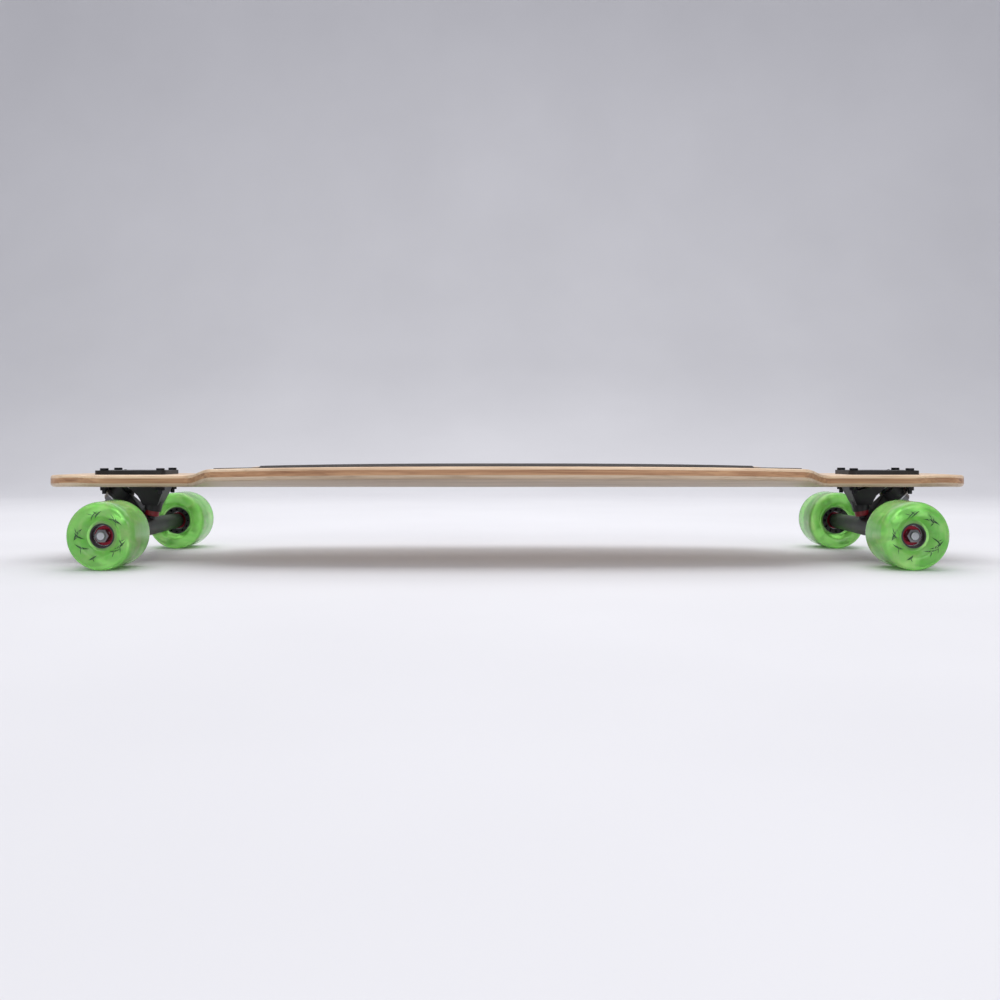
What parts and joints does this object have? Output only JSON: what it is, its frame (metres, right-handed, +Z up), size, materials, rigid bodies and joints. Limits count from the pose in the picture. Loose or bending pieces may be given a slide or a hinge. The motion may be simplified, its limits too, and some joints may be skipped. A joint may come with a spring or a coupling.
{
  "type": "longboard skateboard",
  "caption": "Drop-through longboard skateboard with a concave laminated deck, sprung steering trucks and free-rolling translucent wheels.",
  "frame": {"origin": "on the ground under the middle of the deck", "axes": "+X to the front along the board, +Y to the left across it, +Z up"},
  "size_m": [1.016, 0.284, 0.1064],
  "materials": {
    "grip": "gritty black abrasive sheet",
    "veneer_top": "light maple veneer, clear satin lacquer",
    "core_wood": "brown vertical-grain core, clear satin lacquer",
    "veneer_bottom": "light maple veneer, clear satin lacquer",
    "cast_black": "black powder coat, satin",
    "black_bolt": "black oxide steel",
    "red_urethane": "red urethane",
    "black_urethane": "black urethane",
    "kingpin_steel": "dark zinc steel",
    "washer_steel": "zinc plated steel",
    "axle_steel": "machined steel",
    "green_urethane": "translucent green cast urethane",
    "core_plastic": "black moulded nylon",
    "race_steel": "polished bearing steel",
    "shield_red": "red lacquered shield"
  },
  "bodies": {
    "deck_body": {"deck_bottom_ply": "veneer_bottom", "deck_core": "core_wood", "deck_top_ply": "veneer_top", "grip_tape": "grip", "front_baseplate": "cast_black", "front_pivot_cup": "red_urethane", "front_kingpin": "kingpin_steel", "front_kingpin_nut": "kingpin_steel", "front_board_bushing": "black_urethane", "front_road_bushing": "black_urethane", "front_board_washer": "washer_steel", "front_road_washer": "washer_steel", "front_deck_bolts": "black_bolt", "front_deck_nuts": "black_bolt", "rear_baseplate": "cast_black", "rear_pivot_cup": "red_urethane", "rear_kingpin": "kingpin_steel", "rear_kingpin_nut": "kingpin_steel", "rear_board_bushing": "black_urethane", "rear_road_bushing": "black_urethane", "rear_board_washer": "washer_steel", "rear_road_washer": "washer_steel", "rear_deck_bolts": "black_bolt", "rear_deck_nuts": "black_bolt"},
    "front_hanger_body": {"front_hanger": "cast_black", "front_axle": "axle_steel", "front_left_bearing_sleeve": "race_steel", "front_left_axle_nut": "axle_steel", "front_left_speed_rings": "washer_steel", "front_right_bearing_sleeve": "race_steel", "front_right_axle_nut": "axle_steel", "front_right_speed_rings": "washer_steel"},
    "front_left_wheel": {"front_left_tyre": "green_urethane", "front_left_core": "core_plastic", "front_left_races": "race_steel", "front_left_shields": "shield_red"},
    "front_right_wheel": {"front_right_tyre": "green_urethane", "front_right_core": "core_plastic", "front_right_races": "race_steel", "front_right_shields": "shield_red"},
    "rear_hanger_body": {"rear_hanger": "cast_black", "rear_axle": "axle_steel", "rear_left_bearing_sleeve": "race_steel", "rear_left_axle_nut": "axle_steel", "rear_left_speed_rings": "washer_steel", "rear_right_bearing_sleeve": "race_steel", "rear_right_axle_nut": "axle_steel", "rear_right_speed_rings": "washer_steel"},
    "rear_left_wheel": {"rear_left_tyre": "green_urethane", "rear_left_core": "core_plastic", "rear_left_races": "race_steel", "rear_left_shields": "shield_red"},
    "rear_right_wheel": {"rear_right_tyre": "green_urethane", "rear_right_core": "core_plastic", "rear_right_races": "race_steel", "rear_right_shields": "shield_red"}
  },
  "joints": [
    {"name": "front_steer", "type": "hinge", "parent": "deck_body", "child": "front_hanger_body", "pos_m": [0.4085, 0, 0.0515], "axis": [0.8105, 0, 0.5857], "range_deg": [-10, 10], "stiffness_Nm_per_rad": 40, "deforming": ["front_board_bushing", "front_road_bushing"]},
    {"name": "front_left_spin", "type": "hinge", "parent": "front_hanger_body", "child": "front_left_wheel", "pos_m": [0.4125, 0.1165, 0.035], "axis": [0, 1, 0], "continuous": true},
    {"name": "front_right_spin", "type": "hinge", "parent": "front_hanger_body", "child": "front_right_wheel", "pos_m": [0.4125, -0.1165, 0.035], "axis": [0, 1, 0], "continuous": true},
    {"name": "rear_steer", "type": "hinge", "parent": "deck_body", "child": "rear_hanger_body", "pos_m": [-0.4085, 0, 0.0515], "axis": [-0.8105, 0, 0.5857], "range_deg": [-10, 10], "stiffness_Nm_per_rad": 40, "deforming": ["rear_board_bushing", "rear_road_bushing"]},
    {"name": "rear_left_spin", "type": "hinge", "parent": "rear_hanger_body", "child": "rear_left_wheel", "pos_m": [-0.4125, 0.1165, 0.035], "axis": [0, 1, 0], "continuous": true},
    {"name": "rear_right_spin", "type": "hinge", "parent": "rear_hanger_body", "child": "rear_right_wheel", "pos_m": [-0.4125, -0.1165, 0.035], "axis": [0, 1, 0], "continuous": true}
  ]
}
